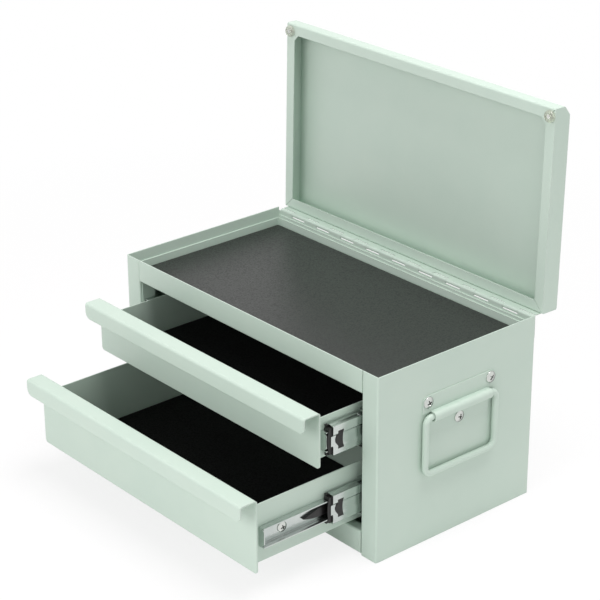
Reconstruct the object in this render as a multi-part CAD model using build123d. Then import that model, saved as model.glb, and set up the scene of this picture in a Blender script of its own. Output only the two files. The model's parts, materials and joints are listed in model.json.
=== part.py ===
"""A small steel tool chest: a hinged lid over an open till, above two drawers on ball slides.

X runs across the front, Y from front to back and Z up. The origin is the middle of the base.
The chest is modelled with its lid open, its drawers part way out and its handles hanging.
"""

import os

from build123d import *

# Box, in millimetres
body_width = 420.0
body_depth = 225.0
body_height = 213.0
sheet = 1.2
bend = 2.0
overrun = 6.0
seam = 0.2
column_width = 23.5
bottom_rail_height = 28.0
top_rail_height = 26.0
column_return = 21.0
rail_return = 11.0
flange = 12.0
back_drop = 9.0
mat_thickness = 2.4
mat_clearance = 1.0

# Lid, as it lies when shut
lid_gap = 4.5
lid_overhang = 2.0
lid_height = 22.0
lid_flange = 12.5
lid_bevel_depth = 10.0
lid_bevel_height = 8.0
lid_gusset = 7.0
lid_mitre_gap = 0.5
lid_mitre_depth = 0.5
lid_open_angle = 91.3
bumper_radius = 6.5
bumper_round = 1.6
bumper_edge = 6.7
bumper_front = 9.0
bumper_recess_radius = 3.0
bumper_recess_depth = 1.8
rivet_radius = 1.6
rivet_head_radius = 2.6
rivet_head_height = 1.0
rivet_clearance = 0.05

# Piano hinge
hinge_inset = 4.0
hinge_knuckles = 19
hinge_leaf = 1.0
hinge_pin_radius = 1.5
hinge_pin_clearance = 0.05
hinge_knuckle_gap = 0.3
hinge_slot = 1.4
hinge_below_rim = 4.1
hinge_body_leaf_drop = 22.0
hinge_lid_leaf_rise = 24.0

# Drawers
drawer_side_gap = 0.9
drawer_low_gap = 4.0
drawer_between_gap = 4.9
drawer_high_gap = 3.3
drawer_back_room = 15.5
drawer_front_sheet = 1.5
drawer_front_bend = 3.0
drawer_front_corner = 4.0
drawer_lip_depth = 21.5
drawer_lip_drop = 18.0
drawer_lip_corner = 8.0
drawer_sheet = 1.0
drawer_box_lift = 1.6
lower_front_share = 0.5715
upper_box_drop = 14.7
upper_slide_lift = 23.2
upper_out = 56.0
lower_box_drop = 14.7
lower_slide_lift = 33.0
lower_out = 138.0

# Ball slides: depth is measured from the face on the box towards the drawer
slide_back_room = 20.0
slide_depth = 13.7
slide_sheet = 1.2
slide_bend = 1.6
slide_set_back = 5.0
cabinet_half = 21.2
cabinet_flange = 10.6
middle_half = 17.2
middle_web = 2.2
middle_flange = 11.8
middle_band_half = 5.6
middle_band_step = 1.6
middle_band_recess = 0.8
middle_groove = 0.7
middle_lip_fall = 0.5
middle_tongue = 2.3
middle_set_back = 5.5
middle_out = 43.0
runner_half = 11.6
runner_flange_start = 5.2
runner_groove = 0.3
runner_set_back = 14.0
runner_end_open_half = 7.0
runner_end_half = 11.0
runner_end_slope = 3.7
outer_race = 4.8
inner_race = 8.2
ball_clearance = 0.1
ball_seat_clearance = 0.15
cage_sheet = 0.5
cage_clearance = 0.25
cage_bend = 0.9
cage_flange = 3.6
outer_cage_length = 100.0
outer_cage_start = 50.5
inner_cage_length = 88.0
inner_cage_start = 67.6
balls_per_row = 2
strip_thickness = 1.0
strip_set_back = 3.0
strip_length = 17.0
post_flange = 14.0
post_inset = 20.0

# Black plastic stop in the mouth of the middle member
stop_reach = 3.5
stop_length = 16.0
stop_clearance = 0.3
stop_arm = 2.7
stop_back = 0.85
stop_bow = 2.2
stop_hook = 3.0
tab_middle = 12.7
tab_half_height = 10.0
tab_waist_half = 6.0
tab_width = 7.6
tab_bulge = 3.0
tab_clearance = 0.15

# Release lever inside the drawer's slide member
lever_tip = 55.0
lever_pivot = 99.0
lever_tail = 8.0
lever_half = 5.2
lever_nose = 24.0
lever_droop = 1.0
lever_thickness = 2.6
lever_clearance = 0.3
lever_pin_radius = 1.5
lever_pin_clearance = 0.05

# Screws that hold the slide members to the drawers
runner_screw_inset = 29.0
runner_screw_head_radius = 5.0
runner_screw_head_height = 2.4
runner_screw_radius = 2.1
runner_screw_reach = 4.0
screw_clearance = 0.1

# Side handles
handle_set_back = 1.5
handle_wire = 7.0
handle_clearance = 0.7
handle_sheet = 1.2
handle_below_rim = 42.0
handle_plate_height = 45.0
handle_barrel_drop = 23.5
handle_top_width = 105.0
handle_barrel_width = 83.0
handle_foot_width = 87.0
handle_top_corner = 8.0
handle_wing_corner = 2.5
handle_low_corner = 5.0
handle_foot_bend = 1.4
bail_width = 101.0
bail_drop = 65.0
bail_corner = 9.0
bail_shoulder = 7.0
bail_hook = 17.0
handle_screw_inset = 7.5
handle_screw_low_inset = 7.0
handle_screw_head_radius = 6.0
handle_screw_head_height = 2.6
handle_screw_radius = 2.4
handle_screw_reach = 6.0
head_rim_share = 0.45

# Worked out from the sizes above
half_width = body_width / 2
front = -body_depth / 2
back = body_depth / 2
inside_half = half_width - sheet
opening_half = half_width - column_width
opening_low = bottom_rail_height
opening_high = body_height - top_rail_height
hinge_length = body_width - 2 * hinge_inset
slide_length = body_depth - slide_set_back - slide_back_room
drawer_length = body_depth - drawer_front_sheet - drawer_back_room
drawer_front_half = opening_half - drawer_side_gap
drawer_gaps = drawer_low_gap + drawer_between_gap + drawer_high_gap
drawer_fronts_height = opening_high - opening_low - drawer_gaps
lower_front_low = opening_low + drawer_low_gap
lower_front_high = lower_front_low + lower_front_share * drawer_fronts_height
upper_front_low = lower_front_high + drawer_between_gap
upper_front_high = opening_high - drawer_high_gap
handle_top = body_height - handle_below_rim
handle_low = handle_top - handle_plate_height
handle_height = handle_top - handle_barrel_drop
tray_low = opening_high + sheet
tray_floor = tray_low + sheet
back_top = body_height - back_drop
barrel_radius = hinge_pin_radius + hinge_pin_clearance + hinge_leaf
hinge_y = back + barrel_radius
hinge_z = body_height - hinge_below_rim
lid_front = front - lid_overhang
lid_low = body_height + lid_gap
lid_high = lid_low + lid_height
slide_face = opening_half - strip_thickness
drawer_half = slide_face - slide_depth
slide_front = front + slide_set_back
ball_outer_half = cabinet_half - slide_sheet
ball_inner_half = middle_half - middle_groove
outer_ball = (ball_outer_half - ball_inner_half) / 2 - ball_clearance
outer_ball_height = (ball_outer_half + ball_inner_half) / 2
runner_race_half = runner_half - runner_groove
inner_ball = (middle_half - slide_sheet - runner_race_half) / 2 - ball_clearance
inner_ball_height = (middle_half - slide_sheet + runner_race_half) / 2
handle_cavity = handle_wire / 2 + handle_clearance
handle_axis = half_width + handle_wire / 2 + handle_clearance
bail_half = bail_width / 2


class Drawer:
    """The heights of one drawer and how far it stands out."""

    def __init__(self, name, front_low, front_high, box_drop, slide_lift, out):
        self.name = name
        self.front_low = front_low
        self.front_high = front_high
        self.box_low = front_low + drawer_box_lift
        self.box_high = front_high - box_drop
        self.slide_height = front_low + slide_lift
        self.face = front + drawer_front_sheet - out
        self.middle_front = front + middle_set_back - middle_out
        self.middle_travel = middle_out
        self.runner_front = front + runner_set_back - out
        self.runner_travel = out - middle_out


drawers = [
    Drawer("upper", upper_front_low, upper_front_high, upper_box_drop, upper_slide_lift, upper_out),
    Drawer("lower", lower_front_low, lower_front_high, lower_box_drop, lower_slide_lift, lower_out),
]


def block(x0, x1, y0, y1, z0, z1):
    """A box between two corners."""
    middle = Pos((x0 + x1) / 2, (y0 + y1) / 2, (z0 + z1) / 2)
    return middle * Box(x1 - x0, y1 - y0, z1 - z0)


def rod(radius, start, direction, length):
    """A round bar from a point, along a direction."""
    return extrude(Plane(origin=start, z_dir=direction) * Circle(radius), amount=length)


def folded(points, radii, thickness):
    """Section of a folded sheet: its outer line, rounded at the folds, thickened to its left."""
    line = Wire(FilletPolyline(*points, radius=radii).edges())
    return Face(line.offset_2d(thickness, side=Side.LEFT))


def across(x):
    """A plane that faces along X, with its own X along Y and its own Y up."""
    return Plane(origin=(x, 0, 0), x_dir=(0, 1, 0), z_dir=(1, 0, 0))


def pan(half, y0, y1, z0, z1, thickness):
    """An open tray folded up from one sheet."""
    outer = block(-half, half, y0, y1, z0, z1)
    folds = outer.edges().filter_by(Axis.Z) + outer.edges().group_by(Axis.Z)[0]
    outer = fillet(folds, bend)
    room = half - thickness
    inner = block(-room, room, y0 + thickness, y1 - thickness, z0 + thickness, z1 + overrun)
    folds = inner.edges().filter_by(Axis.Z) + inner.edges().group_by(Axis.Z)[0]
    return outer - fillet(folds, bend - thickness)


def other_side(piece):
    """The same piece on the left of the chest."""
    return mirror(piece, about=Plane.YZ)


def side_panel():
    """Right wall, folded at the front into a column that returns into the box."""
    line = [
        (-half_width, back),
        (-half_width, front),
        (-opening_half, front),
        (-opening_half, front + column_return),
    ]
    wall = extrude(folded(line, bend, sheet), amount=body_height)
    inner = -opening_half - 2 * bend
    deep = front + column_return + overrun
    above = block(inner, -opening_half + overrun, front + sheet, deep, opening_high, body_height + overrun)
    below = block(inner, -opening_half + overrun, front + sheet, deep, -overrun, sheet)
    wall = other_side(wall - above - below)
    for y, z in handle_screw_places():
        hole = handle_screw_radius + screw_clearance
        wall -= rod(hole, (inside_half - overrun, y, z), (1, 0, 0), 2 * overrun)
    return wall


def back_panel():
    """Back wall, with a flange along each side inside the side walls."""
    line = [
        (inside_half, back - flange),
        (inside_half, back),
        (-inside_half, back),
        (-inside_half, back - flange),
    ]
    wall = extrude(folded(line, bend, sheet), amount=back_top)
    deep = back - flange - overrun
    low = block(-half_width, half_width, deep, back - sheet, -overrun, flange + bend)
    high = block(-half_width, half_width, deep, back - sheet, opening_high, body_height)
    return wall - low - high


def bottom_pan():
    """Floor of the box, open towards the front rail."""
    floor = pan(inside_half, front + sheet, back - sheet, 0, flange, sheet)
    y = front + sheet
    return floor - block(-half_width, half_width, y - overrun, y + bend, sheet, flange + overrun)


def bottom_rail():
    """Front rail below the drawers, standing on the floor of the box."""
    line = [
        (front + rail_return, opening_low),
        (front, opening_low),
        (front, sheet),
        (front + rail_return, sheet),
    ]
    half = opening_half - seam
    return extrude(across(-half) * folded(line, bend, sheet), amount=2 * half)


def top_rail():
    """Front rail above the drawers, whose return carries the till."""
    line = [(front, body_height), (front, opening_high), (front + rail_return, opening_high)]
    half = opening_half - seam
    return extrude(across(-half) * folded(line, bend, sheet), amount=2 * half)


def till_tray():
    """Floor of the till, with a flange up each wall."""
    return pan(inside_half, front + sheet, back - sheet, tray_low, tray_low + flange, sheet)


def mat(half, y0, y1, floor):
    """A loose liner with rounded corners on the floor of a tray."""
    clear = mat_clearance
    liner = block(-half + clear, half - clear, y0 + clear, y1 - clear, floor, floor + mat_thickness)
    return fillet(liner.edges().filter_by(Axis.Z), bend)


def till_mat():
    """Liner of the till."""
    half = inside_half - sheet
    return mat(half, front + 2 * sheet, back - 2 * sheet, tray_floor)


def slide_strip():
    """Flat strip on the right column's return that the slides are fixed to."""
    y = front + strip_set_back
    low = opening_low + strip_set_back
    high = opening_high - strip_set_back
    return block(slide_face, opening_half, y, y + strip_length, low, high)


def slide_post():
    """Bracket from the right wall to the back ends of the slides."""
    y = slide_front + slide_length - post_inset
    inner = -slide_face - sheet
    line = [(-inside_half, y + post_flange), (-inside_half, y), (inner, y), (inner, y - post_flange)]
    post = extrude(folded(line, bend, sheet), amount=opening_high - flange - 2 * bend)
    return other_side(Pos(0, 0, flange + bend) * post)


def slide_plane(y, height):
    """Section plane of a right slide: its own X runs from the box to the drawer, its own Y up."""
    return Plane(origin=(slide_face, y, height), x_dir=(-1, 0, 0), z_dir=(0, 1, 0))


def channel(half):
    """Both halves of a symmetric line given from its top end to its middle."""
    return half + [(u, -v) for u, v in reversed(half)]


def cabinet_member(drawer):
    """Slide member fixed to the box."""
    line = channel([(cabinet_flange, cabinet_half), (0, cabinet_half)])
    section = slide_plane(slide_front, drawer.slide_height) * folded(line, slide_bend, slide_sheet)
    return extrude(section, amount=slide_length)


def middle_member(drawer):
    """Slide member that runs between the other two, with a raceway on each side of its flanges."""
    recess = middle_web + middle_band_recess
    line = channel([
        (middle_flange, middle_half - middle_lip_fall),
        (inner_race, middle_half),
        (outer_race, middle_half - middle_groove),
        (middle_web, middle_half),
        (middle_web, middle_band_half + middle_band_step),
        (recess, middle_band_half),
    ])
    plane = slide_plane(drawer.middle_front, drawer.slide_height)
    member = extrude(plane * folded(line, slide_bend, slide_sheet), amount=slide_length)
    for side in (1, -1):
        low, high = sorted((side * middle_band_half, side * (middle_half + overrun)))
        member -= plane * block(-overrun, slide_depth, low, high, -overrun, middle_tongue)
    hole = offset(tab_outline(), amount=tab_clearance)
    return member - extrude(stop_plane(drawer) * hole, amount=slide_depth / 2)


def stop_plane(drawer):
    """Plane of the middle member's outer face: its own X runs back from its front, its own Y up."""
    return Plane(
        origin=(slide_face - middle_web, drawer.middle_front, drawer.slide_height),
        x_dir=(0, 1, 0), z_dir=(-1, 0, 0))


def tab_outline():
    """Outline of the stop's tab, with a bulge towards the front and a waist behind.

    Its own Y runs down, as the plane that it lies on is seen from the drawer.
    """
    near = tab_middle - tab_width / 2
    far = tab_middle + tab_width / 2
    edge = Polyline((near, -tab_waist_half), (near, -tab_half_height), (far, -tab_half_height))
    waist = ThreePointArc((far, -tab_half_height), (far - tab_bulge / 2, 0), (far, tab_half_height))
    foot = Polyline((far, tab_half_height), (near, tab_half_height), (near, tab_waist_half))
    bulge = ThreePointArc((near, tab_waist_half), (near - tab_bulge, 0), (near, -tab_waist_half))
    return make_face(Wire([*edge.edges(), waist, *foot.edges(), bulge]))


def front_stop(drawer):
    """Plastic stop in the mouth of the middle member: bowed front, two hooks and a tab through the web."""
    plane = slide_plane(drawer.middle_front, drawer.slide_height)
    web = middle_web + middle_band_recess + slide_sheet
    arm = runner_half + stop_clearance
    half = arm + stop_arm
    edge = stop_bow - stop_reach
    deep = stop_length - stop_reach
    sides = Polyline((edge, half), (deep, half), (deep, -half), (edge, -half))
    bow = ThreePointArc((edge, -half), (-stop_reach, 0), (edge, half))
    outline = make_face(Wire([*sides.edges(), bow]))
    body = extrude(stop_plane(drawer) * outline, amount=middle_flange - middle_web)
    body -= plane * block(0, web, -half - seam, half + seam, -overrun, stop_length)
    body -= plane * block(web + stop_back, middle_flange + overrun, -arm, arm, -overrun, stop_length)
    for side in (1, -1):
        low, high = sorted((side * arm, side * middle_half))
        body += plane * block(middle_flange - stop_hook, middle_flange, low, high, edge, middle_tongue - seam)
    tab = extrude(stop_plane(drawer) * tab_outline(), amount=web - middle_web + stop_back / 2)
    return body + tab


def cage(height, start, length, web, reach, race, ball, ball_height):
    """A ball cage for both raceways of a slide, with its loose balls."""
    half = ball_height + cage_sheet / 2
    line = channel([(reach, half), (web, half)])
    plane = slide_plane(start, height)
    strip = extrude(plane * folded(line, cage_bend, cage_sheet), amount=length)
    pitch = length / balls_per_row
    balls = []
    for row in (1, -1):
        for place in range(balls_per_row):
            centre = plane * Pos(race, row * ball_height, pitch / 2 + place * pitch)
            strip -= centre * Rot(90, 0, 0) * Cylinder(ball + ball_seat_clearance, 2 * ball)
            balls.append(centre * Sphere(ball))
    return Compound([strip.solid(), *[ball.solid() for ball in balls]])


def outer_cage(drawer):
    """Balls between the box's slide member and the middle one."""
    web = slide_sheet + cage_clearance
    start = slide_front + outer_cage_start - drawer.middle_travel / 2
    reach = outer_race + cage_flange
    return cage(drawer.slide_height, start, outer_cage_length, web, reach, outer_race,
                outer_ball, outer_ball_height)


def inner_cage(drawer):
    """Balls between the middle slide member and the drawer's."""
    web = middle_web + middle_band_recess + slide_sheet + cage_clearance
    start = drawer.middle_front + inner_cage_start - drawer.runner_travel / 2
    reach = inner_race + cage_flange / 2
    return cage(drawer.slide_height, start, inner_cage_length, web, reach, inner_race,
                inner_ball, inner_ball_height)


def runner_screw_places(drawer):
    """Where the slide member is screwed to its drawer."""
    back_end = drawer.runner_front + slide_length
    return [drawer.runner_front + runner_screw_inset, back_end - runner_screw_inset]


def runner(drawer):
    """Slide member on the drawer, closed at its front end, with the lever's pin."""
    line = channel([
        (runner_flange_start, -runner_half + runner_groove),
        (inner_race, -runner_half + runner_groove),
        (slide_depth - slide_bend - slide_sheet, -runner_half),
        (slide_depth, -runner_half),
    ])
    plane = slide_plane(drawer.runner_front, drawer.slide_height)
    member = extrude(plane * folded(line, slide_bend, slide_sheet), amount=slide_length)
    slope = runner_flange_start + runner_end_slope
    end = channel([
        (slide_depth, runner_end_half),
        (slope, runner_end_half),
        (runner_flange_start, runner_end_open_half),
    ])
    member += extrude(plane * make_face(Polyline(*end, close=True)), amount=slide_sheet)
    inner = slide_depth - slide_sheet
    pin = lever_thickness + lever_clearance
    member += plane * Pos(inner - pin / 2, 0, lever_pivot) * Rot(0, 90, 0) * Cylinder(lever_pin_radius, pin)
    hole = runner_screw_radius + screw_clearance
    for y in runner_screw_places(drawer):
        start = (slide_face - slide_depth - overrun, y, drawer.slide_height)
        member -= rod(hole, start, (1, 0, 0), 2 * overrun)
    return member


def release_lever(drawer):
    """Tapered plastic lever on a pin inside the drawer's slide member."""
    reach = lever_pivot - lever_tip
    nose = -reach + lever_nose
    top = Polyline((-reach, -lever_droop), (nose, lever_half), (lever_tail, lever_half))
    end = Polyline((lever_tail, lever_half), (lever_tail, -lever_half), (nose, -lever_half))
    belly = TangentArc((nose, -lever_half), (-reach, -lever_droop), tangent=(-1, 0))
    outline = make_face(Wire([*top.edges(), *end.edges(), belly]))
    outline -= Circle(lever_pin_radius + lever_pin_clearance)
    side = slide_face - slide_depth + slide_sheet + lever_clearance
    plane = Plane(
        origin=(side, drawer.runner_front + lever_pivot, drawer.slide_height),
        x_dir=(0, 1, 0), z_dir=(1, 0, 0))
    return extrude(plane * outline, amount=lever_thickness)


def domed_screw(start, direction, head_radius, head_height, radius, reach):
    """A domed screw: its head outside the start point, its shank behind."""
    plane = Plane(origin=start, z_dir=direction)
    rim = (head_radius, head_height * head_rim_share)
    sides = Polyline(rim, (head_radius, 0), (0, 0), (0, head_height))
    crown = TangentArc((0, head_height), rim, tangent=(1, 0))
    outline = make_face(Wire([*sides.edges(), crown]))
    head = revolve(Plane.XZ * outline, axis=Axis.Z)
    shank = rod(radius, (0, 0, -reach), (0, 0, 1), reach)
    return plane * (head + shank)


def runner_screws(drawer):
    """Screws through the slide members into both sides of a drawer."""
    inner = slide_face - slide_depth + slide_sheet
    reach = slide_sheet + drawer_sheet + runner_screw_reach
    screws = []
    for y in runner_screw_places(drawer):
        start = (inner, y, drawer.slide_height)
        screw = domed_screw(start, (1, 0, 0), runner_screw_head_radius,
                            runner_screw_head_height, runner_screw_radius, reach)
        screws += [screw.solid(), other_side(screw).solid()]
    return Compound(screws)


def drawer_box(drawer):
    """Open drawer body, with the screw holes of its slide members."""
    box = pan(drawer_half, drawer.face, drawer.face + drawer_length,
              drawer.box_low, drawer.box_high, drawer_sheet)
    hole = runner_screw_radius + screw_clearance
    for y in runner_screw_places(drawer):
        for side in (1, -1):
            start = (side * (drawer_half - overrun), y, drawer.slide_height)
            box -= rod(hole, start, (side, 0, 0), 2 * overrun)
    return box


def drawer_front(drawer):
    """Front sheet of a drawer, folded over at the top into a full-width lip."""
    lip = drawer.face - drawer_lip_depth
    low = drawer.front_high - drawer_lip_drop
    line = [
        (drawer.face, drawer.front_low),
        (drawer.face, drawer.front_high),
        (lip, drawer.front_high),
        (lip, low),
    ]
    half = drawer_front_half
    section = folded(line, drawer_front_bend, drawer_front_sheet)
    panel = extrude(across(-half) * section, amount=2 * half)
    ends = panel.edges().filter_by(Axis.Y)
    panel = fillet(ends.filter_by_position(Axis.Z, low - seam, low + seam), drawer_lip_corner)
    feet = panel.edges().filter_by(Axis.Y)
    return fillet(feet.group_by(Axis.Z)[0], drawer_front_corner)


def drawer_mat(drawer):
    """Liner of a drawer."""
    y0 = drawer.face + drawer_sheet
    y1 = drawer.face + drawer_length - drawer_sheet
    return mat(drawer_half - drawer_sheet, y0, y1, drawer.box_low + drawer_sheet)


def opened(piece):
    """A piece of the lid, turned from shut to open."""
    turn = Pos(0, hinge_y, hinge_z) * Rot(-lid_open_angle, 0, 0) * Pos(0, -hinge_y, -hinge_z)
    return turn * piece


def lid_shell():
    """Lid folded from one sheet: bevelled front edge, skirts and an inner flange."""
    outline = Polyline(
        (lid_front, lid_low),
        (lid_front, lid_high - lid_bevel_height),
        (lid_front + lid_bevel_depth, lid_high),
        (back, lid_high),
        (back, lid_low),
        close=True)
    section = make_face(outline)
    section = fillet(section.vertices(), bend)
    shell = extrude(across(-half_width) * section, amount=body_width)
    hollow = offset(section, amount=-sheet)
    shell -= extrude(across(-inside_half) * hollow, amount=2 * inside_half)
    half = half_width - lid_flange
    mouth = block(-half, half, lid_front + lid_flange, back - lid_flange, lid_low - overrun, lid_low + bend)
    corners = mouth.edges().filter_by(Axis.Z).group_by(Axis.Y)[0]
    shell -= chamfer(corners, lid_gusset)
    for x in (half_width, -half_width):
        for y in (lid_front, back):
            turn = 45 if x * y > 0 else -45
            long = lid_flange * 2
            groove = Box(2 * long, lid_mitre_gap, 2 * lid_mitre_depth)
            shell -= Pos(x, y, lid_low) * Rot(0, 0, turn) * groove
    for x, y in bumper_places():
        shell -= rod(rivet_radius + rivet_clearance, (x, y, lid_low - overrun), (0, 0, 1), 2 * overrun)
    return opened(shell)


def bumper_places():
    """Where the lid's bumpers stand, over the rim of the side walls."""
    x = half_width - bumper_edge
    y = lid_front + bumper_front
    return [(x, y), (-x, y)]


def lid_bumpers():
    """Soft clear bumpers at the lid's front corners."""
    bumpers = []
    for x, y in bumper_places():
        foot = body_height
        pad = rod(bumper_radius, (x, y, foot), (0, 0, 1), lid_gap)
        pad = fillet(pad.edges().group_by(Axis.Z)[0], bumper_round)
        pad -= rod(rivet_radius + rivet_clearance, (x, y, foot - overrun), (0, 0, 1), lid_gap + 2 * overrun)
        pad -= rod(bumper_recess_radius, (x, y, foot - overrun), (0, 0, 1), overrun + bumper_recess_depth)
        bumpers.append(opened(pad).solid())
    return Compound(bumpers)


def bumper_rivets():
    """Rivets that hold the bumpers to the lid's flange."""
    rivets = []
    for x, y in bumper_places():
        seat = body_height + bumper_recess_depth
        shank = rod(rivet_radius, (x, y, seat), (0, 0, 1), lid_low + sheet - seat)
        low_head = rod(rivet_head_radius, (x, y, seat - rivet_head_height), (0, 0, 1), rivet_head_height)
        top_head = rod(rivet_head_radius, (x, y, lid_low + sheet), (0, 0, 1), rivet_head_height)
        rivets.append(opened(shank + low_head + top_head).solid())
    return Compound(rivets)


def knuckle_spans(first):
    """Every second knuckle of the hinge, as pairs of X."""
    pitch = hinge_length / hinge_knuckles
    start = -hinge_length / 2
    return [(start + n * pitch, start + (n + 1) * pitch) for n in range(first, hinge_knuckles, 2)]


def hinge_half(low, high, own, others):
    """One leaf of the hinge, in the plane of the shut lid's back, with its knuckles."""
    half = hinge_length / 2
    leaf = block(-half, half, back, back + hinge_leaf, low, high)
    room = barrel_radius + hinge_slot
    gap = hinge_knuckle_gap / 2
    for x0, x1 in others:
        leaf -= block(x0 - gap, x1 + gap, back - overrun, back + overrun, hinge_z - room, hinge_z + room)
    for x0, x1 in own:
        leaf += rod(barrel_radius, (x0 + gap, hinge_y, hinge_z), (1, 0, 0), x1 - x0 - 2 * gap)
    bore = hinge_pin_radius + hinge_pin_clearance
    return leaf - rod(bore, (-half - overrun, hinge_y, hinge_z), (1, 0, 0), hinge_length + 2 * overrun)


def hinge_body_leaf():
    """Hinge leaf on the outside of the back wall."""
    return hinge_half(hinge_z - hinge_body_leaf_drop, hinge_z, knuckle_spans(0), knuckle_spans(1))


def hinge_lid_leaf():
    """Hinge leaf on the outside of the lid's back skirt."""
    leaf = hinge_half(hinge_z, hinge_z + hinge_lid_leaf_rise, knuckle_spans(1), knuckle_spans(0))
    return opened(leaf)


def hinge_pin():
    """Wire pin through every knuckle."""
    return rod(hinge_pin_radius, (-hinge_length / 2, hinge_y, hinge_z), (1, 0, 0), hinge_length)


def handle_screw_places():
    """The three screws of a side handle, as Y and Z."""
    half = handle_top_width / 2 - handle_screw_inset
    height = handle_top - handle_screw_inset
    return [
        (handle_set_back - half, height),
        (handle_set_back + half, height),
        (handle_set_back, handle_low + handle_screw_low_inset),
    ]


def plate_half(width, low, high):
    """Flat part of a handle plate, above or below its barrel."""
    half = width / 2
    return block(half_width, half_width + handle_sheet, handle_set_back - half, handle_set_back + half, low, high)


def handle_plate():
    """Pressed plate on the right wall, with a half-round barrel for the bail."""
    crest = handle_axis + handle_cavity
    line = [
        (half_width, handle_top),
        (half_width, handle_height + handle_cavity),
        (crest, handle_height + handle_cavity),
        (crest, handle_height - handle_cavity),
        (half_width, handle_height - handle_cavity),
        (half_width, handle_low),
    ]
    bore = handle_wire / 2
    section = folded(line, [handle_foot_bend, bore, bore, handle_foot_bend], handle_sheet)
    start = handle_set_back + handle_barrel_width / 2
    plane = Plane(origin=(0, start, 0), x_dir=(1, 0, 0), z_dir=(0, -1, 0))
    barrel = extrude(plane * section, amount=handle_barrel_width)
    rise = handle_cavity + handle_sheet + handle_foot_bend
    barrel_high = handle_height + rise
    barrel_low = handle_height - rise
    deep = half_width - overrun
    barrel -= block(deep, handle_axis, -half_width, half_width, barrel_high, handle_top + overrun)
    barrel -= block(deep, handle_axis, -half_width, half_width, handle_low - overrun, barrel_low)
    wing = plate_half(handle_top_width, handle_height + handle_cavity, handle_top)
    corners = wing.edges().filter_by(Axis.X).group_by(Axis.Z)[-1]
    wing = fillet(corners, handle_top_corner)
    corners = wing.edges().filter_by(Axis.X).group_by(Axis.Z)[0]
    wing = fillet(corners, handle_wing_corner)
    room = handle_barrel_width / 2 + seam
    wing -= block(deep, handle_axis, handle_set_back - room, handle_set_back + room, handle_low, barrel_high)
    foot = plate_half(handle_foot_width, handle_low, barrel_low)
    foot = fillet(foot.edges().filter_by(Axis.X).group_by(Axis.Z)[0], handle_low_corner)
    plate = barrel + wing + foot
    for y, z in handle_screw_places():
        plate -= rod(handle_screw_radius + screw_clearance, (inside_half, y, z), (1, 0, 0), 2 * overrun)
    return plate


def handle_bail():
    """Wire bail of the right handle, hanging, with its ends turned into the barrel."""
    low = handle_height - bail_drop
    inner = bail_half - bail_hook
    line = FilletPolyline(
        (-inner, handle_height),
        (-bail_half, handle_height),
        (-bail_half, low),
        (bail_half, low),
        (bail_half, handle_height),
        (inner, handle_height),
        radius=[bail_shoulder, bail_corner, bail_corner, bail_shoulder])
    path = Plane(origin=(handle_axis, handle_set_back, 0), x_dir=(0, 1, 0), z_dir=(1, 0, 0)) * line
    start = Plane(origin=path @ 0, z_dir=path % 0)
    return sweep(start * Circle(handle_wire / 2), path=path)


def handle_screws():
    """Screws of both side handles."""
    face = half_width + handle_sheet
    screws = []
    for y, z in handle_screw_places():
        screw = domed_screw((face, y, z), (1, 0, 0), handle_screw_head_radius, handle_screw_head_height,
                            handle_screw_radius, handle_sheet + sheet + handle_screw_reach)
        screws += [screw.solid(), other_side(screw).solid()]
    return Compound(screws)


def both_sides(name, piece):
    """A piece and its mirror image, under their left and right names."""
    return {f"{name}_right": piece, f"{name}_left": other_side(piece)}


def slide_pieces(drawer):
    """Every piece of a drawer's two slides."""
    makers = {
        "cabinet_member": cabinet_member,
        "middle_member": middle_member,
        "drawer_member": runner,
        "outer_ball_cage": outer_cage,
        "inner_ball_cage": inner_cage,
        "slide_stop": front_stop,
        "release_lever": release_lever,
    }
    pieces = {}
    for name, make in makers.items():
        pieces.update(both_sides(f"{drawer.name}_{name}", make(drawer)))
    return pieces


def drawer_pieces(drawer):
    """Every piece of a drawer apart from its slides."""
    return {
        f"{drawer.name}_drawer_box": drawer_box(drawer),
        f"{drawer.name}_drawer_front": drawer_front(drawer),
        f"{drawer.name}_drawer_mat": drawer_mat(drawer),
        f"{drawer.name}_slide_screws": runner_screws(drawer),
    }


def chest():
    """All pieces by name."""
    pieces = {
        **both_sides("side_panel", side_panel()),
        "back_panel": back_panel(),
        "bottom_pan": bottom_pan(),
        "bottom_rail": bottom_rail(),
        "top_rail": top_rail(),
        "till_tray": till_tray(),
        "till_mat": till_mat(),
        **both_sides("slide_strip", slide_strip()),
        **both_sides("slide_post", slide_post()),
        "hinge_body_leaf": hinge_body_leaf(),
        "hinge_lid_leaf": hinge_lid_leaf(),
        "hinge_pin": hinge_pin(),
        "lid_shell": lid_shell(),
        "lid_bumpers": lid_bumpers(),
        "bumper_rivets": bumper_rivets(),
        **both_sides("handle_plate", handle_plate()),
        **both_sides("handle_bail", handle_bail()),
        "handle_screws": handle_screws(),
    }
    for drawer in drawers:
        pieces.update(drawer_pieces(drawer))
        pieces.update(slide_pieces(drawer))
    return pieces


os.makedirs("parts", exist_ok=True)
for node, piece in chest().items():
    export_step(piece, f"parts/{node}.step")
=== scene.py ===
"""Dresses a small steel tool chest: powder coat, zinc slides, mats, wire bails, screws and bumpers.

Lengths are in metres. X runs across the front, Y from front to back and Z up.
"""

import json
import math

import bmesh
import bpy
from bpy.props import FloatProperty, FloatVectorProperty, PointerProperty
from mathutils import Matrix, Vector


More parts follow.
